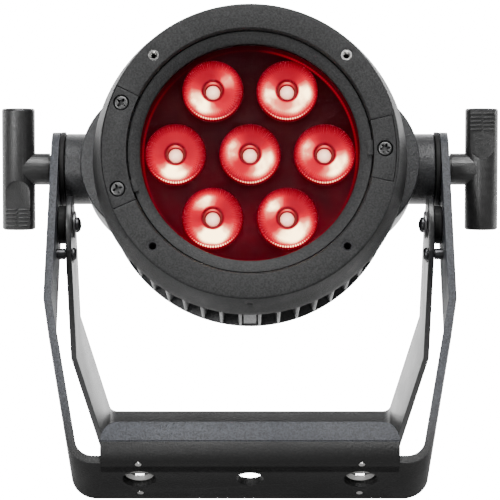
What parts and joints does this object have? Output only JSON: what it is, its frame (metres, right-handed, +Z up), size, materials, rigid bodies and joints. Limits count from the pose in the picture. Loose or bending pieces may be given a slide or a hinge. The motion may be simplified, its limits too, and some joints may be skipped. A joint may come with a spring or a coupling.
{
  "type": "par can light",
  "caption": "Compact LED par can light: round die-cast head that tilts between two nested U-shaped brackets, which spread as a floor stand.",
  "frame": {"origin": "bottom centre of the box around the light as it stands on a floor with its brackets spread", "axes": "+Z up, -Y the way the light shines, +X along the tilt axis"},
  "size_m": [0.257, 0.209, 0.2415],
  "materials": {
    "cast_black": "die-cast aluminium with a fine-textured black powder coat",
    "bracket_black": "steel sheet with a fine-textured black powder coat",
    "nylon_black": "glass-filled black nylon",
    "rubber_black": "matt black rubber",
    "bright_steel": "zinc-plated steel",
    "black_steel": "blackened steel",
    "clear_glass": "clear tempered glass",
    "lit_lens": "clear acrylic collimator, lit red",
    "reflector": "black moulded lens holder, washed with red light",
    "circuit_board": "green solder mask",
    "display": "dark tinted window",
    "socket_plastic": "black moulded connector"
  },
  "bodies": {
    "outer_bracket": {"outer_yoke": "bracket_black", "lock_receptacle_left": "bright_steel", "lock_receptacle_right": "bright_steel", "stop_pin_left": "black_steel", "stop_pin_right": "black_steel", "pivot_spacer_left": "rubber_black", "pivot_spacer_right": "rubber_black", "pivot_washer_left": "bright_steel", "pivot_washer_right": "bright_steel", "pivot_screw_left": "black_steel", "pivot_screw_right": "black_steel"},
    "inner_bracket": {"inner_yoke": "bracket_black"},
    "handle_left": {"tilt_handle_left": "nylon_black", "clamp_stud_left": "bright_steel"},
    "handle_right": {"tilt_handle_right": "nylon_black", "clamp_stud_right": "bright_steel"},
    "key_menu": {"button_menu": "rubber_black"},
    "key_down": {"button_down": "rubber_black"},
    "key_up": {"button_up": "rubber_black"},
    "key_enter": {"button_enter": "rubber_black"},
    "head": {"heat_sink_housing": "cast_black", "tilt_boss_left": "cast_black", "tilt_boss_right": "cast_black", "front_bezel": "cast_black", "lens_retainer": "cast_black", "rear_cover": "cast_black", "clamp_plate": "cast_black", "latch_plate": "cast_black", "vent_plug": "nylon_black", "housing_gasket": "rubber_black", "rear_gasket": "rubber_black", "friction_ring_left": "rubber_black", "friction_ring_right": "rubber_black", "clamp_screw_lower": "black_steel", "clamp_screw_upper": "black_steel", "latch_screw": "black_steel", "safety_eye": "black_steel", "cover_screw_1": "black_steel", "cover_screw_2": "black_steel", "cover_screw_3": "black_steel", "cover_screw_4": "black_steel", "front_glass": "clear_glass", "led_lens_1": "lit_lens", "led_lens_2": "lit_lens", "led_lens_3": "lit_lens", "led_lens_4": "lit_lens", "led_lens_5": "lit_lens", "led_lens_6": "lit_lens", "led_lens_7": "lit_lens", "lens_plate": "reflector", "led_board": "circuit_board", "driver_board": "circuit_board", "control_board": "circuit_board", "display_window": "display", "power_inlet": "socket_plastic", "power_outlet": "socket_plastic", "data_inlet": "socket_plastic", "data_outlet": "socket_plastic"}
  },
  "joints": [
    {"name": "head_tilt", "type": "hinge", "parent": "outer_bracket", "child": "head", "pos_m": [0, 0.01879, 0.15703], "axis": [1, 0, 0], "range_deg": [-120, 120]},
    {"name": "inner_bracket_fold", "type": "hinge", "parent": "outer_bracket", "child": "inner_bracket", "pos_m": [0, -0.00137, 0.12928], "axis": [1, 0, 0], "range_deg": [-66.5, 0]},
    {"name": "handle_left_turn", "type": "hinge", "parent": "head", "child": "handle_left", "pos_m": [0, 0.01879, 0.15703], "axis": [-1, 0, 0], "continuous": true},
    {"name": "handle_right_turn", "type": "hinge", "parent": "head", "child": "handle_right", "pos_m": [0, 0.01879, 0.15703], "axis": [1, 0, 0], "continuous": true},
    {"name": "press_menu", "type": "slide", "parent": "head", "child": "key_menu", "axis": [0, -0.9792, 0.2028], "range_m": [0, 0.001], "stiffness_N_per_m": 400, "springref_m": -0.0005},
    {"name": "press_down", "type": "slide", "parent": "head", "child": "key_down", "axis": [0, -0.9792, 0.2028], "range_m": [0, 0.001], "stiffness_N_per_m": 400, "springref_m": -0.0005},
    {"name": "press_up", "type": "slide", "parent": "head", "child": "key_up", "axis": [0, -0.9792, 0.2028], "range_m": [0, 0.001], "stiffness_N_per_m": 400, "springref_m": -0.0005},
    {"name": "press_enter", "type": "slide", "parent": "head", "child": "key_enter", "axis": [0, -0.9792, 0.2028], "range_m": [0, 0.001], "stiffness_N_per_m": 400, "springref_m": -0.0005}
  ]
}
